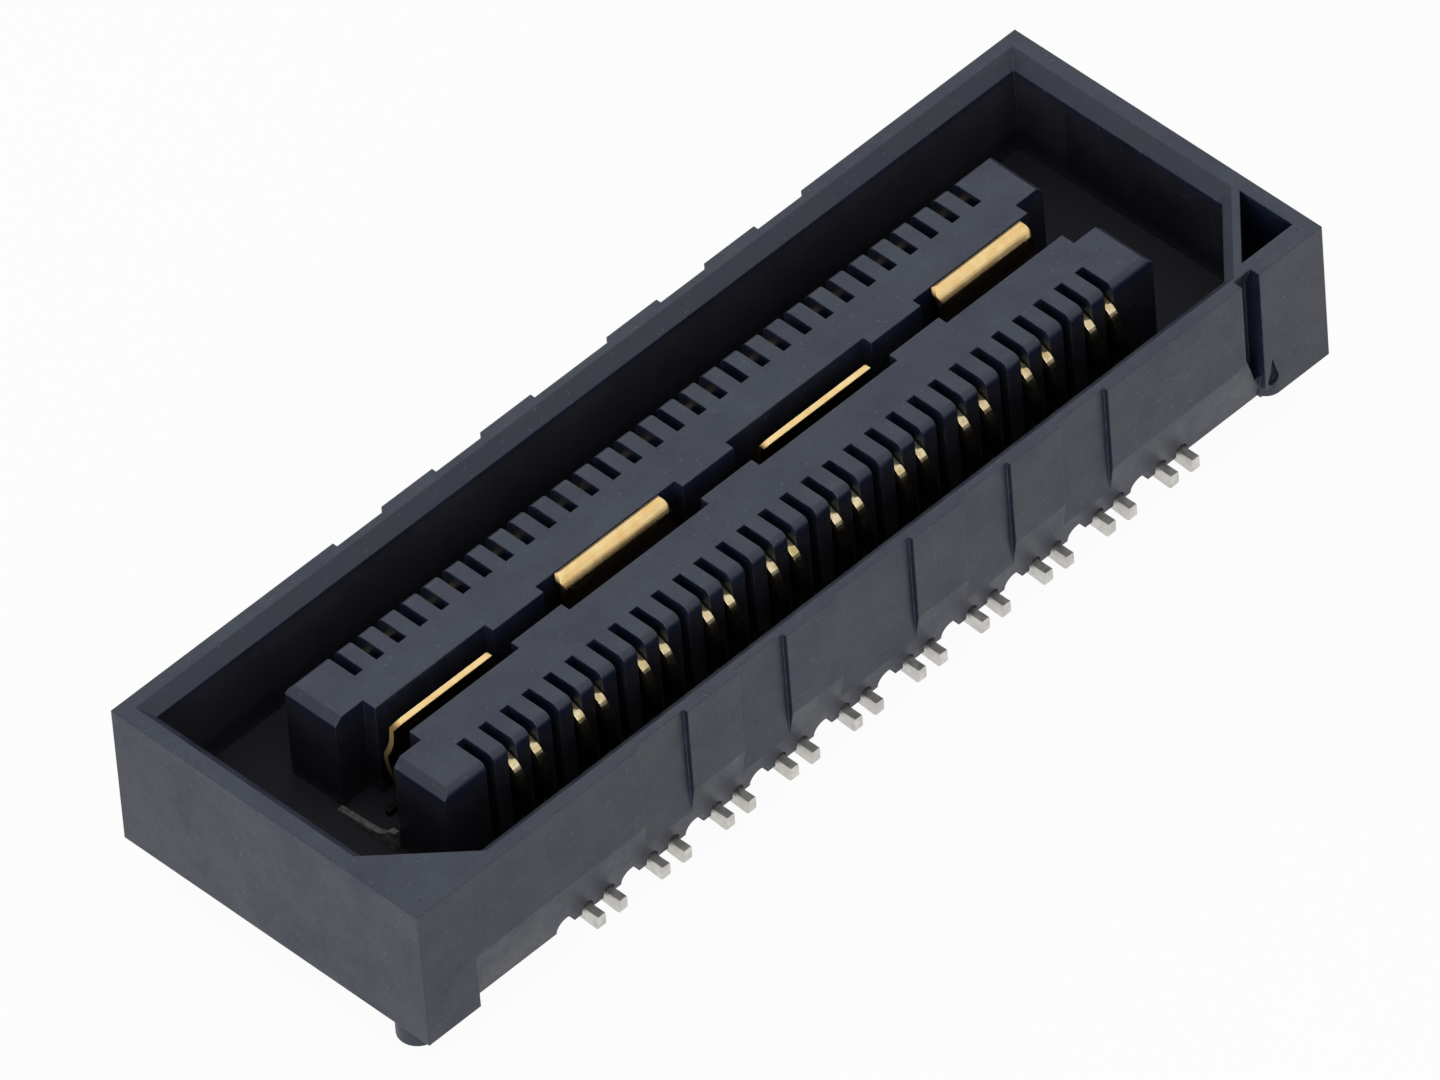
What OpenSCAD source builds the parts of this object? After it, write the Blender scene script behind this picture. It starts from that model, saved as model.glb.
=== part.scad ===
// Fine pitch board-to-board socket strip: one moulded housing, two rows of blanked spring contacts
// in pairs, and a stamped ground strip with four leaning spring leaves down the middle.
// Millimetres. The board plane is z = 0, +X runs to the position 1 end and the origin is central.

/* [Housing] */
// Overall length of the moulding
body_length = 21.2; // [21:0.1:24]
// Overall width of the moulding over its long walls
body_width = 7.11; // [6.9:0.01:8]
// Height of the rim above the board
body_height = 3.13; // [2.95:0.02:3.6]
// Thickness of the long walls
long_wall = 0.49; // [0.44:0.01:0.6]
// Thickness of the end walls
end_wall = 0.55; // [0.45:0.01:0.7]
// Lead-in bevel round the inside of the rim
lead_in = 0.24; // [0.1:0.01:0.3]
// Height of the cavity floor above the board
floor_top = 1.05; // [0.9:0.01:1.2]
// Height of the floor's underside above the board
floor_under = 0.55; // [0.52:0.01:0.65]
// Height of the long walls' lower edge above the board
wall_clearance = 0.18; // [0.17:0.01:0.3]
// Height of the two feet above the board
foot_clearance = 0.15; // [0.05:0.01:0.16]
// Length of the foot under the plain end
plain_foot = 1.19; // [1:0.01:1.5]
// Length of the foot under the position 1 end
marked_foot = 1.5; // [1.35:0.01:1.6]
// Leg of the 45 degree cuts across two corners of the cavity
corner_leg = 1.05; // [0.8:0.01:1.3]
// Lead-in bevel on the corner cuts
corner_bevel = 0.17; // [0.05:0.01:0.25]

/* [Position 1 corner] */
// Thickness of the diagonal wall in front of the pocket
diagonal_wall = 0.13; // [0.1:0.01:0.25]
// Thickness of the end wall behind the pocket
pocket_end_wall = 0.28; // [0.2:0.01:0.4]
// Thickness of the long wall behind the pocket
pocket_side_wall = 0.4; // [0.35:0.01:0.5]
// Height of the pocket's floor above the board
pocket_floor = 1.15; // [0.75:0.05:2.1]
// Width of the relief groove beside the position 1 foot
groove_width = 0.42; // [0.2:0.01:0.5]
// Depth of the relief groove at the rim
groove_mouth = 0.2; // [0.1:0.01:0.25]
// Depth of the relief groove below its mouth
groove_depth = 0.36; // [0.26:0.01:0.4]
// Height over which the groove deepens below the rim
groove_slope = 0.4; // [0.2:0.05:0.8]
// Height at which the groove starts to narrow
groove_taper = 1.4; // [1.05:0.05:1.6]
// Height of the groove's lower end
groove_end = 0.68; // [0.5:0.01:0.9]
// Depth of the gate dimple on the position 1 foot
dimple_depth = 0.1; // [0.05:0.01:0.2]
// Width of the gate dimple
dimple_width = 0.26; // [0.1:0.01:0.3]
// Height of the gate dimple
dimple_height = 0.61; // [0.4:0.01:0.8]
// Plain face between the groove and the dimple
dimple_gap = 0.06; // [0.03:0.01:0.2]
// Height of the dimple's lower end above the board
dimple_rise = 0.41; // [0.3:0.01:0.6]
// Radius of the position 1 foot's corner below the groove
foot_round = 0.3; // [0.1:0.01:0.4]

/* [Long wall faces] */
// Depth of the sunk panels
panel_depth = 0.1; // [0.05:0.01:0.15]
// Width of the middle sunk panel
panel_middle = 1.78; // [1.2:0.01:2.2]
// Width of the other sunk panels
panel_width = 1.12; // [0.8:0.01:1.4]
// Width of the raised pads between the panels
pad_width = 1.18; // [0.8:0.01:1.4]
// Height where the lower slope starts
slope_top = 1.3; // [1:0.05:1.5]
// How far the lower slope comes in at its foot
slope_inset = 0.2; // [0.11:0.01:0.22]
// Width of the notches for the tails in the long walls' lower edge
notch_width = 0.24; // [0.2:0.01:0.3]
// Width of the notches at the empty positions
empty_notch = 0.42; // [0.3:0.01:0.44]
// Height of the notches' arches above the board
notch_top = 0.43; // [0.4:0.01:0.5]

/* [Island] */
// Length of the island that carries the contacts
island_length = 16.6; // [16.2:0.1:18]
// Width of the island over both ribs
island_width = 3.72; // [3.5:0.01:3.9]
// Height of the island's top above the board
island_top = 3.06; // [2.8:0.01:3.1]
// Radius along the ribs' outer top edges
rib_radius = 0.15; // [0.1:0.01:0.4]
// Bevel on the ribs' end edges
rib_bevel = 0.15; // [0.05:0.01:0.25]
// Depth of the contact slots, in from the ribs' outer faces
slot_depth = 0.69; // [0.6:0.01:0.75]
// Gap between the ribs where no spring leaf stands
gap_narrow = 0.42; // [0.36:0.01:0.5]
// Gap between the ribs at the spring leaves
gap_spring = 0.8; // [0.72:0.01:0.95]
// Gap between the ribs at the island's ends
gap_end = 1.36; // [1.1:0.01:1.5]
// Length of the wider gap at each end of the island
gap_end_length = 0.65; // [0.4:0.01:0.75]

/* [Contacts] */
// Distance between neighbouring positions
pitch = 0.5; // [0.48:0.005:0.51]
// Positions in each row, of which every third stays empty
positions = 30; // [12:3:30]
// Thickness of the contact sheet
contact_sheet = 0.16; // [0.12:0.01:0.18]
// Clearance on each side of a contact in its slot
contact_clearance = 0.02; // [0.01:0.005:0.04]
// Width of the contact's spring beam
beam_width = 0.15; // [0.12:0.01:0.18]
// Angle at which the beam leans in towards its rib, from upright
beam_lean = 15; // [5:1:20]
// Radius of the bend at the top of the beam
crest_radius = 0.365; // [0.25:0.005:0.4]
// Distance of the bend's middle behind the rib's outer face
crest_inset = 0.26; // [0.2:0.01:0.35]
// Drop from the island's top to the bend's middle
crest_drop = 0.78; // [0.7:0.01:0.9]
// Angle up to which the bend goes round, from level
tip_angle = 85; // [60:1:100]
// Height of the solder tail's top above the board
tail_height = 0.31; // [0.25:0.01:0.38]
// Height of the tail's underside above the board where it leaves the bend
tail_rise = 0.1; // [0.02:0.01:0.15]
// How far the tails stand out past the long walls
tail_reach = 0.15; // [0.1:0.01:0.5]
// Radius inside the bend between the tail and the beam
tail_bend = 0.15; // [0.05:0.01:0.18]
// Radius under the tip of the tail
tail_heel = 0.1; // [0.03:0.01:0.15]

/* [Ground strip] */
// Thickness of the ground strip's sheet
ground_sheet = 0.1; // [0.06:0.01:0.14]
// Clearance on each side of the ground strip in the floor
ground_clearance = 0.01; // [0.005:0.005:0.02]
// How far the ground strip sits towards the plain end
ground_shift = 0.1; // [0:0.01:0.2]
// Length of the ground strip
ground_length = 15.7; // [15.2:0.1:16]
// Height of the strip's plain web above the cavity floor
ground_web = 0.12; // [0.06:0.01:0.3]
// Distance of the inner leaves' middles from the centre
inner_leaf_at = 2.22; // [2:0.01:2.4]
// Length of the inner leaves
inner_leaf_length = 2.49; // [2:0.01:2.7]
// Distance of the outer leaves' middles from the centre
outer_leaf_at = 6.48; // [6.3:0.01:6.6]
// Length of the outer leaves
outer_leaf_length = 2.18; // [1.8:0.01:2.3]
// Free length of the gap beyond each end of a leaf
leaf_room = 0.38; // [0.2:0.01:0.45]
// How far the far leaves' lips lean past the centre
far_lip = 0.33; // [0.2:0.01:0.34]
// How far the near leaves' lips lean past the centre
near_lip = 0.15; // [0.1:0.01:0.34]
// How far the leaf bows the other way, below the lip
leaf_bow = 0.22; // [0.1:0.01:0.28]
// Height of the bow above the strip's web
bow_rise = 0.83; // [0.6:0.01:0.95]
// Height of the lip above the island's top
lip_rise = 0.03; // [0:0.01:0.12]
// Height of the straight lip
lip_height = 0.26; // [0.15:0.01:0.3]
// Sideways spread of the straight lip
lip_spread = 0.17; // [0.1:0.01:0.25]
// Radius on the lip's corners
lip_corner = 0.2; // [0.05:0.01:0.24]
// Length of each ground tail along the strip
ground_tail_length = 1; // [0.6:0.05:1.4]
// How far each ground tail reaches sideways
ground_tail_reach = 0.7; // [0.4:0.05:0.9]
// Distance between neighbouring ground tails
ground_tail_pitch = 3.2; // [2.6:0.1:3.4]
// Number of ground tails
ground_tails = 5; // [3:1:5]
// Bend radius of the ground tails
ground_tail_bend = 0.15; // [0.1:0.01:0.2]

/* [Board pegs] */
// Diameter of the two pegs
peg_diameter = 0.76; // [0.6:0.01:0.9]
// Length of the pegs below the board plane
peg_length = 0.65; // [0.4:0.05:1.2]
// Bevel on the pegs' tips
peg_bevel = 0.12; // [0.05:0.01:0.2]
// Distance of the pegs from the body's ends
peg_inset = 0.57; // [0.5:0.01:0.7]
// Distance of the pegs from the middle of the body
peg_offset = 2.67; // [2.5:0.01:2.9]

/* [Hidden] */
$fn = 48;
// Points in each bend of the sheet metal
bend_steps = 8;
// Overshoot of the cuts, so that no two faces coincide
over = 0.5;

half_length = body_length / 2;
half_width = body_width / 2;
cavity_half_length = half_length - end_wall;
cavity_half_width = half_width - long_wall;
plain_foot_end = plain_foot - half_length;
marked_foot_end = half_length - marked_foot;
// At the rim, the corner cuts lie along |x| + |y| = corner_line, and the pocket behind one along pocket_line
corner_line = cavity_half_length + cavity_half_width - corner_leg;
corner_middle = (cavity_half_length - cavity_half_width) / sqrt(2);
pocket_line = corner_line + diagonal_wall * sqrt(2);

rib_face = island_width / 2;
slot_end = rib_face - slot_depth;
slot_width = contact_sheet + 2 * contact_clearance;
// Middle of the bend at the top of a beam, and the beam's two edges where it meets the floor
crest = [rib_face - crest_inset, island_top - crest_drop];
beam_foot = crest.x + crest_radius / cos(beam_lean) + (crest.y - floor_top) * tan(beam_lean);
beam_outer = beam_foot + beam_width / 2 / cos(beam_lean);
beam_inner = beam_foot - beam_width / 2 / cos(beam_lean);
tail_tip = half_width + tail_reach;
web_top = floor_top + ground_web;
lip_top = island_top + lip_rise;

ROWS = ["a", "b"];
group = 3;
group_contacts = group - 1;
row_contacts = positions / group * group_contacts;
// Middle, length and lean of each ground leaf
LEAVES = [[-outer_leaf_at - ground_shift, outer_leaf_length, -near_lip],
    [-inner_leaf_at - ground_shift, inner_leaf_length, far_lip],
    [inner_leaf_at - ground_shift, inner_leaf_length, -near_lip],
    [outer_leaf_at - ground_shift, outer_leaf_length, far_lip]];

function two_digits(n) = n < 10 ? str("0", n) : str(n);
function contact_name(row, n) = str("contact_", ROWS[row], "_", two_digits(n));

// Position 0 is the one nearest the marked end
function position_x(i) = ((positions - 1) / 2 - i) * pitch;
function holds_contact(i) = i % group < group_contacts;
function contact_x(n) = position_x(floor((n - 1) / group_contacts) * group + (n - 1) % group_contacts);

function arc(centre, radius, from, to) =
    [for (i = [0:bend_steps]) let (a = from + (to - from) * i / bend_steps) centre + radius * [cos(a), sin(a)]];
function bezier(a, b, c, d) =
    [for (i = [0:bend_steps]) let (t = i / bend_steps, s = 1 - t)
        s * s * s * a + 3 * s * s * t * b + 3 * s * t * t * c + t * t * t * d];
function rest(points) = [for (i = [1:len(points) - 1]) points[i]];
function direction(points, i) = points[min(i + 1, len(points) - 1)] - points[max(i - 1, 0)];
function aside(points, i, distance) =
    let (d = direction(points, i)) points[i] + distance * [-d.y, d.x] / norm(d);
// Outline of a strip of sheet metal whose middle follows the points
function ribbon(points, width) = concat(
    [for (i = [0:len(points) - 1]) aside(points, i, width / 2)],
    [for (i = [len(points) - 1:-1:0]) aside(points, i, -width / 2)]);

// Extrudes a (y, z) profile along X
module along_x(length, middle = 0) {
    translate([middle - length / 2, 0, 0]) rotate([90, 0, 90]) linear_extrude(length) children();
}

// Extrudes an (x, z) profile along Y
module along_y(length, middle = 0) {
    translate([0, middle + length / 2, 0]) rotate([90, 0, 0]) linear_extrude(length) children();
}

module box(from, to) {
    translate(from) cube(to - from);
}

module both_sides() {
    children();
    mirror([0, 1, 0]) children();
}

module both_ends() {
    children();
    mirror([1, 0, 0]) children();
}

// Section of the cavity between two opposite walls, which flares into the lead-in bevel
module cavity_section(half) {
    bevel_foot = body_height - lead_in;
    flare = half + lead_in + over;
    polygon([[-half, floor_top], [half, floor_top], [half, bevel_foot], [flare, body_height + over],
        [-flare, body_height + over], [-half, bevel_foot]]);
}

// Section across a corner cut, whose top bevels away from the cavity
module corner_section() {
    rim = corner_line / sqrt(2);
    face = rim - corner_bevel;
    back = rim + corner_leg;
    polygon([[face, 0], [back, 0], [back, body_height + over], [rim + over, body_height + over],
        [face, body_height - corner_bevel]]);
}

// Space inside the shroud, cut across at two corners
module cavity() {
    difference() {
        intersection() {
            along_x(body_length) cavity_section(cavity_half_width);
            along_y(body_width) cavity_section(cavity_half_length);
        }
        both_ends() rotate([0, 0, -45]) along_y(body_width, corner_middle) corner_section();
    }
}

// Triangular well behind the diagonal wall at the position 1 corner
module marked_pocket() {
    corner = [half_length - pocket_end_wall, pocket_side_wall - half_width];
    leg = corner.x - corner.y - pocket_line;
    translate([0, 0, pocket_floor]) linear_extrude(body_height)
        polygon([corner, corner - [leg, 0], corner + [0, leg]]);
}

// Vertical groove beside the position 1 foot, shallow at its mouth and narrowed towards its lower end
module relief_groove() {
    face = -half_width;
    half = groove_width / 2;
    top = body_height + over;
    translate([marked_foot_end - half, 0, 0]) intersection() {
        along_x(groove_width + over)
            polygon([[face - over, top], [face + groove_mouth, top], [face + groove_mouth, body_height],
                [face + groove_depth, body_height - groove_slope], [face + groove_depth, 0], [face - over, 0]]);
        along_y(body_width, face)
            polygon([[-half, top], [half, top], [half, groove_end], [half / 3, groove_end],
                [-half, groove_taper]]);
    }
}

// Drop-shaped dimple low on the position 1 foot
module gate_dimple() {
    radius = dimple_width / 2;
    middle = marked_foot_end + dimple_gap + radius;
    translate([middle, 0, dimple_rise + radius]) along_y(2 * dimple_depth, -half_width) {
        circle(radius);
        polygon([[-radius, 0], [radius, 0], [0, dimple_height - radius]]);
    }
}

// Waste outside the rounded corner of the position 1 foot, which stays clear of the sloped wall beside it
module foot_corner() {
    wall_face = slope_inset * (slope_top - dimple_rise) / (slope_top - wall_clearance);
    translate([marked_foot_end, -half_width, 0]) linear_extrude(dimple_rise) difference() {
        translate([-over, -over]) square([foot_round + over, 0.9 * wall_face + over]);
        translate([foot_round, foot_round]) circle(foot_round);
    }
}

// Shallow panels sunk in the outer face of one long wall
module sunk_panels() {
    step = panel_width + pad_width;
    first = panel_middle / 2 + pad_width;
    box([-panel_middle / 2, half_width - panel_depth, 0],
        [panel_middle / 2, half_width + over, body_height + over]);
    for (start = [first, first + step])
        both_ends() box([start, half_width - panel_depth, 0],
            [start + panel_width, half_width + over, body_height + over]);
}

// Slope that takes the lower part of one long wall in towards the tails
module lower_slope() {
    from = plain_foot_end;
    to = marked_foot_end;
    along_x(to - from, (from + to) / 2)
        polygon([[half_width, slope_top], [half_width + over, slope_top], [half_width + over, -over],
            [half_width - slope_inset, -over], [half_width - slope_inset, wall_clearance]]);
}

// Arched notches through both long walls, one for each position
module tail_notches() {
    for (i = [0:positions - 1]) {
        width = holds_contact(i) ? notch_width : empty_notch;
        spring_line = notch_top - width / 2;
        translate([position_x(i), 0, 0]) along_y(body_width + 2 * over) {
            translate([0, spring_line]) circle(width / 2);
            translate([-width / 2, -over]) square([width, spring_line + over]);
        }
    }
}

// Clear space under the moulding between its two feet
module board_clearance() {
    box([plain_foot_end, -half_width - over, -over], [marked_foot_end, half_width + over, wall_clearance]);
    box([plain_foot_end, -cavity_half_width, -over], [marked_foot_end, cavity_half_width, floor_under]);
}

// Section of the island, with its outer top edges rounded
module island_section() {
    inner = rib_face - rib_radius;
    polygon(concat([[-rib_face, floor_under], [rib_face, floor_under]],
        arc([inner, island_top - rib_radius], rib_radius, 0, 90),
        arc([-inner, island_top - rib_radius], rib_radius, 90, 180)));
}

// Side view of the island, with its end edges bevelled
module island_side() {
    half = island_length / 2;
    polygon([[-half, floor_under], [half, floor_under], [half, island_top - rib_bevel],
        [half - rib_bevel, island_top], [rib_bevel - half, island_top], [-half, island_top - rib_bevel]]);
}

// Opening between the two ribs, wider at the leaves and at the ends
module rib_gap() {
    top = island_top + over;
    half = island_length / 2;
    box([-half - over, -gap_narrow / 2, floor_top], [half + over, gap_narrow / 2, top]);
    both_ends() box([half - gap_end_length, -gap_end / 2, floor_top], [half + over, gap_end / 2, top]);
    for (leaf = LEAVES) {
        reach = leaf[1] / 2 + leaf_room;
        box([leaf[0] - reach, -gap_spring / 2, floor_top], [leaf[0] + reach, gap_spring / 2, top]);
    }
}

module island() {
    difference() {
        intersection() {
            along_x(island_length) island_section();
            along_y(island_width) island_side();
        }
        rib_gap();
    }
}

// Slots in the outer face of one rib, which pass through the floor where a contact comes up from below
module contact_slots() {
    for (i = [0:positions - 1]) {
        filled = holds_contact(i);
        box([position_x(i) - slot_width / 2, slot_end, filled ? 0 : floor_top],
            [position_x(i) + slot_width / 2, filled ? beam_outer + contact_clearance : rib_face + rib_radius,
                island_top + over]);
    }
}

module ground_slot() {
    half = ground_sheet / 2 + ground_clearance;
    translate([-ground_shift, 0, 0]) box([-ground_length / 2, -half, 0], [ground_length / 2, half, web_top]);
}

module peg() {
    radius = peg_diameter / 2;
    translate([half_length - peg_inset, -peg_offset, -peg_length]) {
        cylinder(r1 = radius - peg_bevel, r2 = radius, h = peg_bevel);
        translate([0, 0, peg_bevel]) cylinder(r = radius, h = peg_length - peg_bevel + floor_under);
    }
}

// One-piece moulding: shroud, floor, island, feet and pegs
module housing() {
    color("#33353d") difference() {
        union() {
            difference() {
                box([-half_length, -half_width, foot_clearance], [half_length, half_width, body_height]);
                cavity();
                board_clearance();
                both_sides() sunk_panels();
                both_sides() lower_slope();
                tail_notches();
                marked_pocket();
                relief_groove();
                gate_dimple();
                foot_corner();
            }
            island();
            both_ends() peg();
        }
        both_sides() contact_slots();
        ground_slot();
    }
}

// Outline of a contact: in along the top of the tail, round into the beam, up its outer edge and over the
// bend, back down its inner edge, round the root in the floor's slot, and out under the tail to its heel
function contact_outline() = concat(
    [[tail_tip, tail_height]],
    arc([beam_outer + tail_bend, tail_height + tail_bend], tail_bend, 270, 180),
    [[beam_outer, floor_top]],
    arc(crest, crest_radius + beam_width / 2, beam_lean, tip_angle),
    arc(crest, crest_radius - beam_width / 2, tip_angle, beam_lean),
    [[beam_inner, floor_top], [slot_end, floor_top], [slot_end, floor_under], [beam_inner, floor_under]],
    arc([beam_inner + tail_bend, tail_rise + tail_bend], tail_bend, 180, 270),
    arc([tail_tip - tail_heel, tail_heel], tail_heel, 270, 360));

// One blanked contact: solder tail, root and spring beam
module contact(row, n) {
    color("#d9b878") mirror([0, 1 - row, 0]) along_x(contact_sheet, contact_x(n)) polygon(contact_outline());
}

// Middle line of a leaf whose lip leans to +Y: up from the web, over the bow, upright and out to the lip
function leaf_line(lean) = let (
        root = [0, web_top + ground_sheet / 2],
        bow = root + [-leaf_bow, bow_rise],
        lip = [lean, lip_top],
        flare = [lip_spread, lip_height],
        throat = lip - flare)
    concat([[0, floor_top], [0, web_top]],
        bezier(root, root + [0, bow_rise / 2], bow - [0, bow_rise / 3], bow),
        rest(bezier(bow, bow + [0, bow_rise / 5], throat - [0, 2 * lip_height], throat)),
        [lip]);

// Front view of a leaf, with the corners of its lip rounded
module leaf_front(length) {
    corner = [length / 2 - lip_corner, lip_top + ground_sheet / 2 - lip_corner];
    polygon(concat([[-length / 2, 0], [length / 2, 0]],
        arc(corner, lip_corner, 0, 90),
        arc([-corner.x, corner.y], lip_corner, 90, 180)));
}

module leaf(length, lean) {
    mirror([0, lean < 0 ? 1 : 0, 0]) intersection() {
        along_x(length + over) polygon(ribbon(leaf_line(abs(lean)), ground_sheet));
        along_y(island_width) leaf_front(length);
    }
}

// Solder tail of the ground strip, bent out to one side on the board
module ground_tail(direction) {
    middle = ground_sheet / 2;
    turn = [ground_tail_bend, middle + ground_tail_bend];
    line = concat([[0, floor_top], [0, floor_under]], arc(turn, ground_tail_bend, 180, 270),
        [[ground_tail_reach, middle]]);
    mirror([0, direction < 0 ? 1 : 0, 0]) along_x(ground_tail_length) polygon(ribbon(line, ground_sheet));
}

// One stamped strip: web in the floor's slot, four leaves that lean to alternate sides, tails below
module ground_strip() {
    color("#e2bd74") translate([-ground_shift, 0, 0]) {
        box([-ground_length / 2, -ground_sheet / 2, floor_under],
            [ground_length / 2, ground_sheet / 2, web_top]);
        for (item = LEAVES) translate([item[0] + ground_shift, 0, 0]) leaf(item[1], item[2]);
        for (i = [0:ground_tails - 1])
            translate([(i - (ground_tails - 1) / 2) * ground_tail_pitch, 0, 0])
                ground_tail(i % 2 == 0 ? 1 : -1);
    }
}

housing();
ground_strip();
for (row = [0, 1], n = [1:row_contacts]) contact(row, n);
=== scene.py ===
import math

import bmesh
import bpy
from mathutils import Matrix, Vector


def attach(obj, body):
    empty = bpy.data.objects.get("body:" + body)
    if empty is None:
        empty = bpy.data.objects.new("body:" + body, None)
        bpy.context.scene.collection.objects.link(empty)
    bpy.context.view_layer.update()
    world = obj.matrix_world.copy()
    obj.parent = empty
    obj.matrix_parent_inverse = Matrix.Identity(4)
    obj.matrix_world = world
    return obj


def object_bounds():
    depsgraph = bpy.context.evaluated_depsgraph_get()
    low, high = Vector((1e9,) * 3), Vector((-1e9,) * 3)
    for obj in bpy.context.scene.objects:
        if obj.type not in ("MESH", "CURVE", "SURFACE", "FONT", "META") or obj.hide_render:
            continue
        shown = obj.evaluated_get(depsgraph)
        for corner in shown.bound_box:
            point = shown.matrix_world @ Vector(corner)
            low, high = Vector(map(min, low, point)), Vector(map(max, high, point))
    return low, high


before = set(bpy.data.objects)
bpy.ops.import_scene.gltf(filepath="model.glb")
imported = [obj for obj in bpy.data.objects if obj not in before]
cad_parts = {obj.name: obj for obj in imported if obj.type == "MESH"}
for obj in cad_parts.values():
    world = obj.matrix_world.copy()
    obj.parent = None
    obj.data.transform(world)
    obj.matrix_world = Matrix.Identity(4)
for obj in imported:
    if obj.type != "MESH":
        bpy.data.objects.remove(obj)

cad_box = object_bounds()

# The scene is in metres, and MM turns millimetres into them. The shaders count in millimetres
MM = 0.001
PER_MM = 1000.0

# Camera of the photograph, as a place, the point that it looks at and a roll about its own axis in degrees
CAMERA_PLACE = Vector((-188.79, -209.79, 286.17)) * MM
CAMERA_AIM = Vector((-0.235, -0.087, 1.65)) * MM
CAMERA_ROLL = -4.73
CAMERA_LENS = 607.2
CAMERA_SENSOR = 36
CAMERA_NEAR = 0.01
CAMERA_FAR = 10

# Each lamp's name, place and size in metres, power in watts and colour
LAMPS = (
    ("side", (-0.26, -0.12, 0.07), 0.14, 0.28, (1, 1, 1)),
    ("top", (0.0, -0.05, 0.30), 0.14, 0.04, (1, 1, 1)),
    ("back", (0.14, 0.20, 0.24), 0.16, 0.07, (0.55, 0.75, 1.0)),
)

# Light of the white surround on matt surfaces, and how far the floor is lifted to white for the camera
SKY_AMBIENT = 0.55
FLOOR_LIFT = 0.95
FLOOR_SIZE = 4.0

# Colours are linear
WHITE = (1, 1, 1, 1)
PLASTIC_DARK = (0.0036, 0.0068, 0.0205, 1)
PLASTIC_PALE = (0.0072, 0.0122, 0.0330, 1)
PLASTIC_FLECK_AND_HIGHLIGHT = (0.085, 0.098, 0.125, 1)
# Painted tones for the light and shade inside the cavity
CAVITY_WALL_PAINTED_TONE = (0.0225, 0.0225, 0.0300, 1)
ISLAND_SIDE_PAINTED_TONE = (0.0105, 0.0105, 0.0175, 1)
CAVITY_FLOOR_PAINTED_SHADE = (0.0008, 0.0008, 0.0060, 1)
SILL_DARK = (0.060, 0.058, 0.056, 1)
SILL_PALE = (0.205, 0.198, 0.190, 1)
GOLD = (0.93, 0.71, 0.36, 1)
GOLD_DEEP = (0.80, 0.53, 0.21, 1)
# Painted shade of the ground strip below its gold lips
BRONZE_SHADED = (0.040, 0.029, 0.019, 1)
BEAM_GOLD = (0.74, 0.64, 0.42, 1)
BEAM_GOLD_DEEP = (0.50, 0.39, 0.18, 1)
# Painted shade of the beam below its bend
BEAM_SHADED = (0.155, 0.145, 0.110, 1)
TIN = (0.70, 0.68, 0.64, 1)
TIN_DULL = (0.52, 0.505, 0.475, 1)
FLOOR_WHITE = (0.9, 0.9, 0.9, 1)

# Scales of the noise per millimetre, and how it is stretched along the axes
CLOUD_SCALE = 1.1
STREAK_SCALE = 2.0
STREAK_STRETCH = (0.35, 2.2, 2.2)
GRAIN_SCALE = 7.0
FLECK_SCALE = 13.0
SILL_SCALE = 9.0
BEAM_PATCH_SCALE = 6.0
BLANKING_STRETCH = (30, 2, 2)
GROUND_PATCH_SCALE = 4.0
ROLLING_STRETCH = (0.5, 18, 18)

# Spans of noise that run from one tone to the other
NARROW_SPAN = (0.35, 0.65)
WIDE_SPAN = (0.3, 0.7)
FLECK_SPAN = (0.66, 0.74)
EDGE_HIGHLIGHT_SPAN = (0.42, 0.62)

# How strongly flecks and the painted highlights on the edges show
FLECK_SHARE = 0.5
EDGE_HIGHLIGHT_SHARE = 0.7

# Share of fine grain in the plastic's sheen, next to the broad clouds
SHEEN_GRAIN = 0.3
SHEEN_CLOUD = 0.7

# Roughness of the finishes
PLASTIC_ROUGH = (0.36, 0.55)
CAVITY_ROUGH = 0.85
SILL_ROUGH = (0.45, 0.65)
BEAM_ROUGH = 0.15
TIN_ROUGH = 0.48
BEAM_PATCH_ROUGH = (-0.04, 0.06)
GROUND_ROUGH = (0.16, 0.27)
BARE_ROUGH = 0.5
CUT_ROUGH = 0.6

# Reflection of the plastic
PLASTIC_SPECULAR = 0.57

# Radius of the softened edges, and the turn of the normal, as a cosine, over which an edge shows
PLASTIC_EDGE = 0.03 * MM
METAL_EDGE = 0.025 * MM
EDGE_SAMPLES = 6
EDGE_SPAN = (0.98, 0.80)

# Height and strength of the bumps
PLASTIC_BUMP = (0.012 * MM, 0.22)
SILL_BUMP = (0.012 * MM, 0.4)
BLANKING_BUMP = (0.006 * MM, 0.25)
ROLLING_BUMP = (0.004 * MM, 0.25)

# The plating changes from gold to tin where the tail leaves the foot of the beam, in millimetres along Y
PLATING_SPAN = (2.45, 2.65)

# The beam is gold round its bend and darkened below it with painted shade, as heights in millimetres
BEAM_SHADE_SPAN = (2.35, 1.95)

# The leaves of the ground strip are plated on their lips, down to an edge with rounded corners, and painted
# dark below it as shade, apart from the cut end next to the plain end of the strip, painted gold as a
# highlight, in millimetres
LEAF_SHIFT = 0.1
LEAF_MIDDLES_AND_HALVES = ((2.22, 1.245), (6.48, 1.09))
LIP_LOW = 2.71
LIP_CORNER = 0.26
LIP_FADE = 0.03
END_HIGHLIGHT_X = -7.45
END_HIGHLIGHT_FADE = (1.6, 2.4)

# A face of the ground strip counts as a cut end from this share of its normal along X
CUT_SPAN = (0.35, 0.75)

# Below the rim the cavity's colour is painted light and shade: its own tones on the walls and island sides,
# and painted shade darkening it towards its floor, in millimetres
CAVITY_HALF_LENGTH = 10.12
CAVITY_HALF_WIDTH = 3.12
ISLAND_HALF_WIDTH = 1.9
CAVITY_UNDER = 0.8
CAVITY_TOP = (2.88, 2.70)
FLOOR_SHADE_SPAN = (1.70, 1.10)

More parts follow.
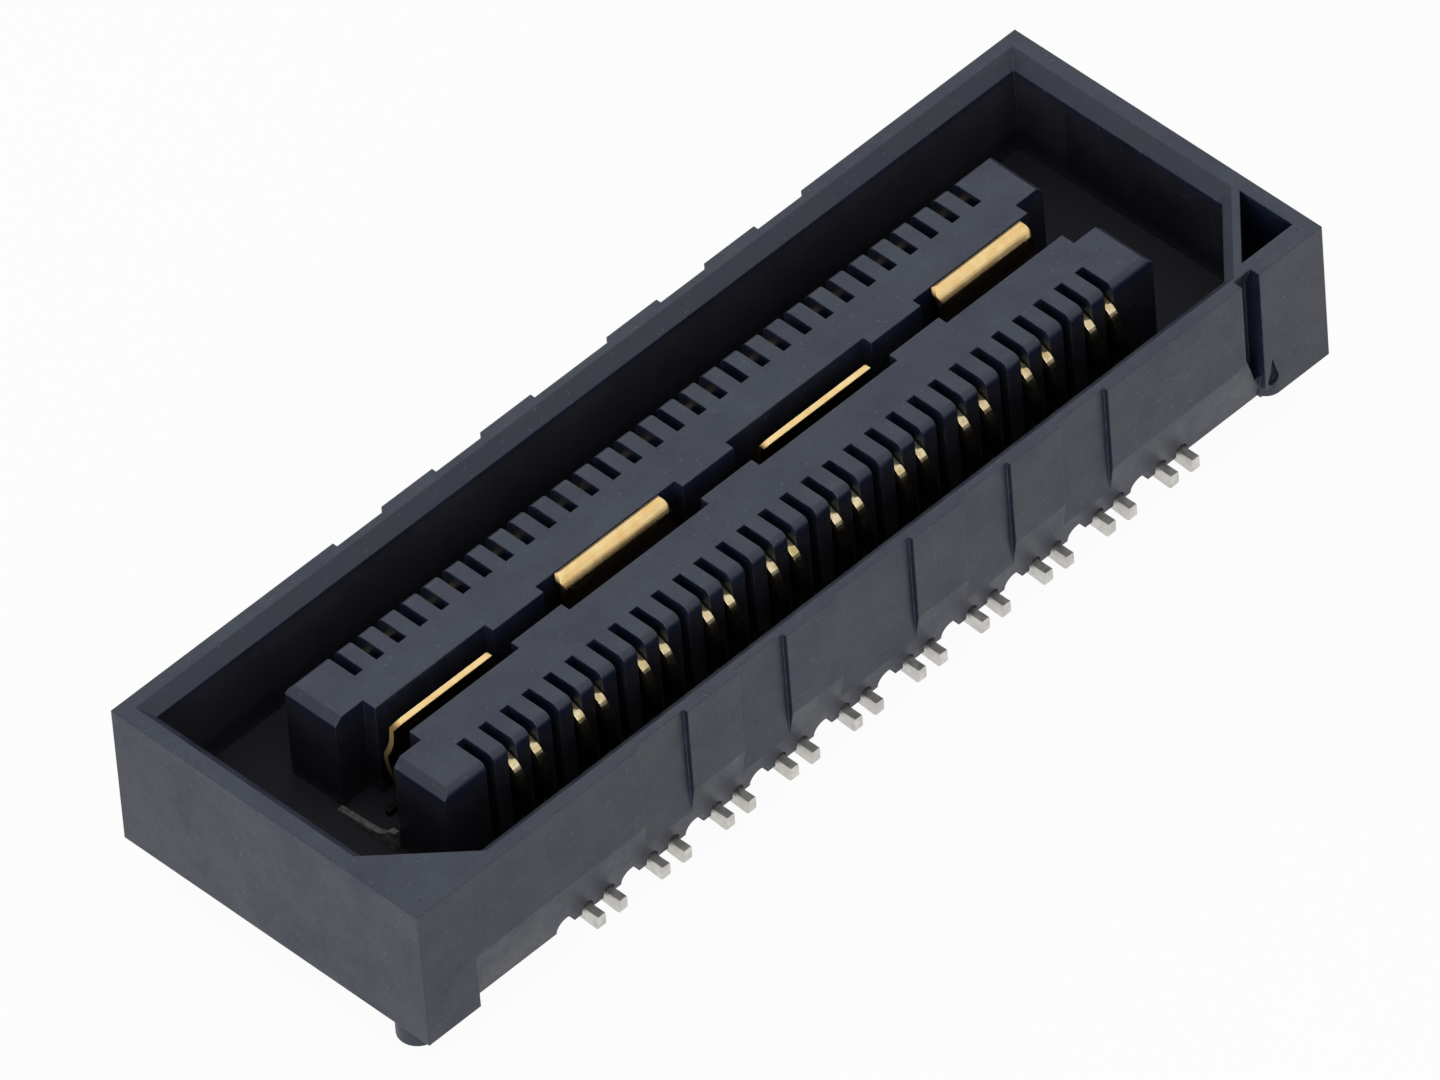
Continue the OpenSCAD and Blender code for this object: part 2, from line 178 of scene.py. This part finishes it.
# Low sill across the mouth of the gap at the plain end, as places along Y and heights, in millimetres
SILL_OUTLINE = ((0.68, 1.05), (-0.68, 1.05), (-0.68, 1.44), (-0.54, 1.42), (-0.42, 1.28), (-0.25, 1.19),
                (0.2, 1.15), (0.68, 1.11))
SILL_OUTER = -8.43
SILL_INNER = -8.31
SILL_EDGE = 0.012 * MM
SILL_EDGE_STEPS = 2


class Nodes:
    """Builds a node tree with short calls."""

    def __init__(self, tree):
        self.tree = tree
        tree.nodes.clear()

    def put(self, socket, value):
        """Links a socket to an input, or sets the input to a value."""
        if isinstance(value, bpy.types.NodeSocket):
            self.tree.links.new(value, socket)
        else:
            socket.default_value = value

    def add(self, kind, inputs=None, **settings):
        """Adds a node, sets its properties, and links or sets its inputs."""
        node = self.tree.nodes.new(kind)
        for name, value in settings.items():
            setattr(node, name, value)
        for key, value in (inputs or {}).items():
            self.put(node.inputs[key], value)
        return node

    def millimetres(self, stretch=(1, 1, 1)):
        """Place in the object's frame in millimetres, stretched along the axes."""
        place = self.add("ShaderNodeTexCoord").outputs["Object"]
        scale = tuple(PER_MM * s for s in stretch)
        return self.add("ShaderNodeVectorMath", {0: place, 1: scale}, operation="MULTIPLY").outputs[0]

    def parts(self, vector):
        """The X, Y and Z of a vector, by name."""
        return self.add("ShaderNodeSeparateXYZ", {0: vector}).outputs

    def noise(self, place, scale, detail, roughness=0.5):
        """Noise whose scale is counted per unit of its place."""
        inputs = {"Vector": place, "Scale": scale, "Detail": detail, "Roughness": roughness}
        return self.add("ShaderNodeTexNoise", inputs).outputs["Fac"]

    def remap(self, value, low, high, to_low=0.0, to_high=1.0):
        """Maps a span of values on to another, clamped at its ends."""
        inputs = {"Value": value, "From Min": low, "From Max": high, "To Min": to_low, "To Max": to_high}
        return self.add("ShaderNodeMapRange", inputs).outputs["Result"]

    def math(self, operation, a, b=0.0):
        return self.add("ShaderNodeMath", {0: a, 1: b}, operation=operation).outputs[0]

    def blend(self, factor, a, b):
        """Mixes two colours, from a to b."""
        node = self.add("ShaderNodeMix", data_type="RGBA")
        factor_socket, a_socket, b_socket = node.inputs[0], node.inputs[6], node.inputs[7]
        self.put(factor_socket, factor)
        self.put(a_socket, a)
        self.put(b_socket, b)
        return node.outputs[2]

    def bump(self, height, distance, strength, normal=None):
        """Normal bent by a height, on top of another normal where one is given."""
        inputs = {"Height": height, "Distance": distance, "Strength": strength}
        if normal is not None:
            inputs["Normal"] = normal
        return self.add("ShaderNodeBump", inputs).outputs["Normal"]

    def face_normal(self):
        return self.add("ShaderNodeNewGeometry").outputs["Normal"]

    def soft_edges(self, radius):
        """Normal that rounds the sharp edges over a small radius."""
        return self.add("ShaderNodeBevel", {"Radius": radius}, samples=EDGE_SAMPLES).outputs["Normal"]

    def edge_mask(self, soft_normal):
        """One on the sharp edges, nought on the flats."""
        inputs = {0: self.face_normal(), 1: soft_normal}
        dot = self.add("ShaderNodeVectorMath", inputs, operation="DOT_PRODUCT")
        return self.remap(dot.outputs["Value"], *EDGE_SPAN)

    def principled(self, inputs):
        """Ends the material with a surface shader."""
        shader = self.add("ShaderNodeBsdfPrincipled", inputs)
        self.surface(shader.outputs["BSDF"])

    def surface(self, shader):
        self.add("ShaderNodeOutputMaterial", {"Surface": shader})


def new_material(name):
    material = bpy.data.materials.new(name)
    material.use_nodes = True
    return material, Nodes(material.node_tree)


def cavity_light_and_shade(n, place):
    """Painted light and shade of the cavity: its tone, then a mask in it below its rim and a mask of
    painted shade on its floor, both fading out upwards.
    """
    parts = n.parts(place)
    from_middle = n.math("ABSOLUTE", parts["Y"])
    along = n.math("LESS_THAN", n.math("ABSOLUTE", parts["X"]), CAVITY_HALF_LENGTH)
    across = n.math("LESS_THAN", from_middle, CAVITY_HALF_WIDTH)
    above = n.math("GREATER_THAN", parts["Z"], CAVITY_UNDER)
    inside = n.math("MULTIPLY", n.math("MULTIPLY", along, across), above)
    # Painted light and shade: below the rim the cavity takes painted tones, and painted shade darkens it
    # towards the floor
    cavity_tone_mask = n.math("MULTIPLY", inside, n.remap(parts["Z"], *CAVITY_TOP))
    floor_shade_and_matt = n.math("MULTIPLY", inside, n.remap(parts["Z"], *FLOOR_SHADE_SPAN))
    on_island = n.math("LESS_THAN", from_middle, ISLAND_HALF_WIDTH)
    wall = n.blend(on_island, CAVITY_WALL_PAINTED_TONE, ISLAND_SIDE_PAINTED_TONE)
    return n.blend(floor_shade_and_matt, wall, CAVITY_FLOOR_PAINTED_SHADE), cavity_tone_mask, floor_shade_and_matt


def housing_plastic():
    """Black filled moulding: cloudy tone, flow streaks along the strip, fine flecks, speckled painted
    highlights on the edges, and painted light and shade in the cavity.
    """
    material, n = new_material("housing_plastic")
    place = n.millimetres()
    cloud = n.noise(place, CLOUD_SCALE, detail=5, roughness=0.6)
    streak = n.noise(n.millimetres(STREAK_STRETCH), STREAK_SCALE, detail=3)
    grain = n.noise(place, GRAIN_SCALE, detail=4, roughness=0.6)
    fleck = n.remap(n.noise(place, FLECK_SCALE, detail=2), *FLECK_SPAN)
    tone = n.math("MULTIPLY", n.math("ADD", cloud, streak), 0.5)
    outside = n.blend(n.remap(tone, *NARROW_SPAN), PLASTIC_DARK, PLASTIC_PALE)
    # Painted light and shade in the cavity: other tones below the rim, darker towards the floor
    cavity_painted_tone, cavity_tone_mask, floor_shade_and_matt = cavity_light_and_shade(n, place)
    colour = n.blend(cavity_tone_mask, outside, cavity_painted_tone)
    soft = n.soft_edges(PLASTIC_EDGE)
    # Painted highlight: the sharp edges are paled, speckled by the grain
    edge_highlight = n.math("MULTIPLY", n.edge_mask(soft), n.remap(grain, *EDGE_HIGHLIGHT_SPAN))
    pale = n.math("MAXIMUM", n.math("MULTIPLY", fleck, FLECK_SHARE), n.math("MULTIPLY", edge_highlight, EDGE_HIGHLIGHT_SHARE))
    # The flecks and painted edge highlights fade out in the painted shade near the floor
    pale = n.math("MULTIPLY", pale, n.math("SUBTRACT", 1.0, floor_shade_and_matt))
    sheen = n.math("ADD", n.math("MULTIPLY", grain, SHEEN_GRAIN), n.math("MULTIPLY", cloud, SHEEN_CLOUD))
    polish = n.remap(sheen, *NARROW_SPAN, *PLASTIC_ROUGH)
    n.principled({
        "Base Color": n.blend(pale, colour, PLASTIC_FLECK_AND_HIGHLIGHT),
        "Roughness": n.math("MAXIMUM", polish, n.math("MULTIPLY", floor_shade_and_matt, CAVITY_ROUGH)),
        "Specular IOR Level": PLASTIC_SPECULAR,
        "Normal": n.bump(grain, *PLASTIC_BUMP, soft),
    })
    return material


def sill_plastic():
    """Pale grey moulding edge, with grain between a darker and a paler grey."""
    material, n = new_material("sill_plastic")
    grain = n.noise(n.millimetres(), SILL_SCALE, detail=4, roughness=0.6)
    n.principled({
        "Base Color": n.blend(n.remap(grain, *NARROW_SPAN), SILL_DARK, SILL_PALE),
        "Roughness": n.remap(grain, *WIDE_SPAN, *SILL_ROUGH),
        "Normal": n.bump(grain, *SILL_BUMP),
    })
    return material


def contact_metal():
    """Gold round the bend of the beam, painted shade darkening it below, and matt tin on the tail, with
    fine blanking lines.
    """
    material, n = new_material("contact_metal")
    place = n.millimetres()
    parts = n.parts(place)
    tinned = n.remap(n.math("ABSOLUTE", parts["Y"]), *PLATING_SPAN)
    # Painted shade: the beam darkens below its bend
    beam_shade = n.remap(parts["Z"], *BEAM_SHADE_SPAN)
    patch = n.noise(place, BEAM_PATCH_SCALE, detail=3)
    lines = n.noise(n.millimetres(BLANKING_STRETCH), 1.0, detail=2)
    gold = n.blend(n.remap(patch, *NARROW_SPAN), BEAM_GOLD_DEEP, BEAM_GOLD)
    tin = n.blend(n.remap(patch, *WIDE_SPAN), TIN_DULL, TIN)
    plain = n.remap(tinned, 0, 1, BEAM_ROUGH, TIN_ROUGH)
    n.principled({
        "Base Color": n.blend(tinned, n.blend(beam_shade, gold, BEAM_SHADED), tin),
        "Metallic": 1.0,
        "Roughness": n.math("ADD", plain, n.remap(patch, *WIDE_SPAN, *BEAM_PATCH_ROUGH)),
        "Normal": n.bump(lines, *BLANKING_BUMP, n.soft_edges(METAL_EDGE)),
    })
    return material


def plated_lip(n, parts):
    """One on the plated lips of the leaves, nought below their rounded lower edge, where painted shade
    takes over.
    """
    from_middle = n.math("ABSOLUTE", n.math("ADD", parts["X"], LEAF_SHIFT))
    inward = []
    for middle, half in LEAF_MIDDLES_AND_HALVES:
        off = n.math("ABSOLUTE", n.math("SUBTRACT", from_middle, middle))
        inward.append(n.math("SUBTRACT", half, off))
    corner = n.remap(n.math("MAXIMUM", *inward), 0, LIP_CORNER, 1, 0)
    rise = n.math("MULTIPLY", n.math("MULTIPLY", corner, corner), LIP_CORNER)
    above = n.math("SUBTRACT", n.math("SUBTRACT", parts["Z"], LIP_LOW), rise)
    return n.remap(above, -LIP_FADE, LIP_FADE)


def ground_metal():
    """Gold lips on a strip painted dark below them as shade, a painted gold highlight on the cut end at the
    plain end, faint rolling lines along it and matt cut ends.
    """
    material, n = new_material("ground_metal")
    place = n.millimetres()
    parts = n.parts(place)
    patch = n.noise(place, GROUND_PATCH_SCALE, detail=4)
    rolling = n.noise(n.millimetres(ROLLING_STRETCH), 1.0, detail=3)
    facing = n.parts(n.face_normal())["X"]
    cut = n.remap(n.math("ABSOLUTE", facing), *CUT_SPAN)
    # Painted highlight: the cut end at the plain end is gold, fading out downwards
    end_highlight = n.math("MULTIPLY", cut, n.math("LESS_THAN", parts["X"], END_HIGHLIGHT_X))
    end_highlight = n.math("MULTIPLY", end_highlight, n.remap(parts["Z"], *END_HIGHLIGHT_FADE))
    # Below the lips and the end highlight the strip takes the painted shade colour
    lip_and_end_highlight = n.math("MAXIMUM", plated_lip(n, parts), end_highlight)
    gold = n.blend(n.remap(patch, *WIDE_SPAN), GOLD_DEEP, GOLD)
    matt = n.math("MAXIMUM", n.remap(lip_and_end_highlight, 0, 1, BARE_ROUGH, 0), n.math("MULTIPLY", cut, CUT_ROUGH))
    n.principled({
        "Base Color": n.blend(lip_and_end_highlight, BRONZE_SHADED, gold),
        "Metallic": 1.0,
        "Roughness": n.math("MAXIMUM", n.remap(rolling, *WIDE_SPAN, *GROUND_ROUGH), matt),
        "Normal": n.bump(rolling, *ROLLING_BUMP, n.soft_edges(METAL_EDGE)),
    })
    return material


def paint_nodes():
    """Gives every solid its finish."""
    plastic = housing_plastic()
    contact = contact_metal()
    ground = ground_metal()
    for name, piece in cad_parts.items():
        finish = plastic
        if name.startswith("contact"):
            finish = contact
        elif name == "ground_strip":
            finish = ground
        piece.data.materials.clear()
        piece.data.materials.append(finish)


def sill():
    """Low sill between the ribs at the plain end, with one end turned up."""
    mesh = bmesh.new()
    sides = []
    for x in (SILL_OUTER, SILL_INNER):
        sides.append([mesh.verts.new(Vector((x, y, z)) * MM) for y, z in SILL_OUTLINE])
    outer, inner = sides
    mesh.faces.new(outer)
    mesh.faces.new(inner[::-1])
    count = len(SILL_OUTLINE)
    for i in range(count):
        j = (i + 1) % count
        mesh.faces.new((outer[i], inner[i], inner[j], outer[j]))
    bmesh.ops.recalc_face_normals(mesh, faces=mesh.faces)
    data = bpy.data.meshes.new("sill")
    mesh.to_mesh(data)
    mesh.free()
    piece = bpy.data.objects.new("sill", data)
    bpy.context.scene.collection.objects.link(piece)
    round_off = piece.modifiers.new("edges", "BEVEL")
    round_off.width = SILL_EDGE
    round_off.segments = SILL_EDGE_STEPS
    data.materials.append(sill_plastic())
    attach(piece, "root")


def seen_directly(n):
    """One for what the camera sees straight, in a reflection or through glass."""
    path = n.add("ShaderNodeLightPath").outputs
    seen = n.math("MAXIMUM", path["Is Camera Ray"], path["Is Glossy Ray"])
    return n.math("MAXIMUM", seen, path["Is Transmission Ray"])


def floor():
    """Pale floor under the pegs, lifted to white for the camera, that keeps a faint shadow."""
    bpy.ops.mesh.primitive_plane_add(size=FLOOR_SIZE, location=(0, 0, cad_box[0].z))
    plane = bpy.context.object
    plane.name = "floor"
    material, n = new_material("floor_white")
    paint = n.add("ShaderNodeBsdfDiffuse", {"Color": FLOOR_WHITE})
    glow = n.add("ShaderNodeEmission", {"Color": WHITE, "Strength": 1.0})
    share = n.math("MULTIPLY", seen_directly(n), FLOOR_LIFT)
    mix = n.add("ShaderNodeMixShader", {0: share, 1: paint.outputs[0], 2: glow.outputs[0]})
    n.surface(mix.outputs[0])
    plane.data.materials.append(material)


def sky():
    """White surround at a plain level."""
    world = bpy.data.worlds.new("studio")
    world.use_nodes = True
    bpy.context.scene.world = world
    n = Nodes(world.node_tree)
    strength = n.remap(seen_directly(n), 0, 1, SKY_AMBIENT, 1.0)
    light = n.add("ShaderNodeBackground", {"Color": WHITE, "Strength": strength})
    n.add("ShaderNodeOutputWorld", {"Surface": light.outputs[0]})


def lights():
    """Square area lamps that face the part."""
    for name, place, size, power, colour in LAMPS:
        lamp = bpy.data.lights.new(name, "AREA")
        lamp.size = size
        lamp.energy = power
        lamp.color = colour
        box = bpy.data.objects.new(name, lamp)
        box.location = place
        box.rotation_euler = (-Vector(place)).to_track_quat("-Z", "Y").to_euler()
        bpy.context.scene.collection.objects.link(box)


def camera():
    """Camera at the photograph's angle."""
    data = bpy.data.cameras.new("camera")
    data.lens = CAMERA_LENS
    data.sensor_width = CAMERA_SENSOR
    data.sensor_fit = "HORIZONTAL"
    data.clip_start = CAMERA_NEAR
    data.clip_end = CAMERA_FAR
    eye = bpy.data.objects.new("camera", data)
    turn = (CAMERA_AIM - CAMERA_PLACE).to_track_quat("-Z", "Y").to_matrix()
    roll = Matrix.Rotation(math.radians(CAMERA_ROLL), 3, "Z")
    eye.matrix_world = Matrix.Translation(CAMERA_PLACE) @ (turn @ roll).to_4x4()
    bpy.context.scene.collection.objects.link(eye)
    bpy.context.scene.camera = eye


bpy.context.scene.view_settings.view_transform = "Standard"
camera()
paint_nodes()
sill()
floor()
sky()
lights()
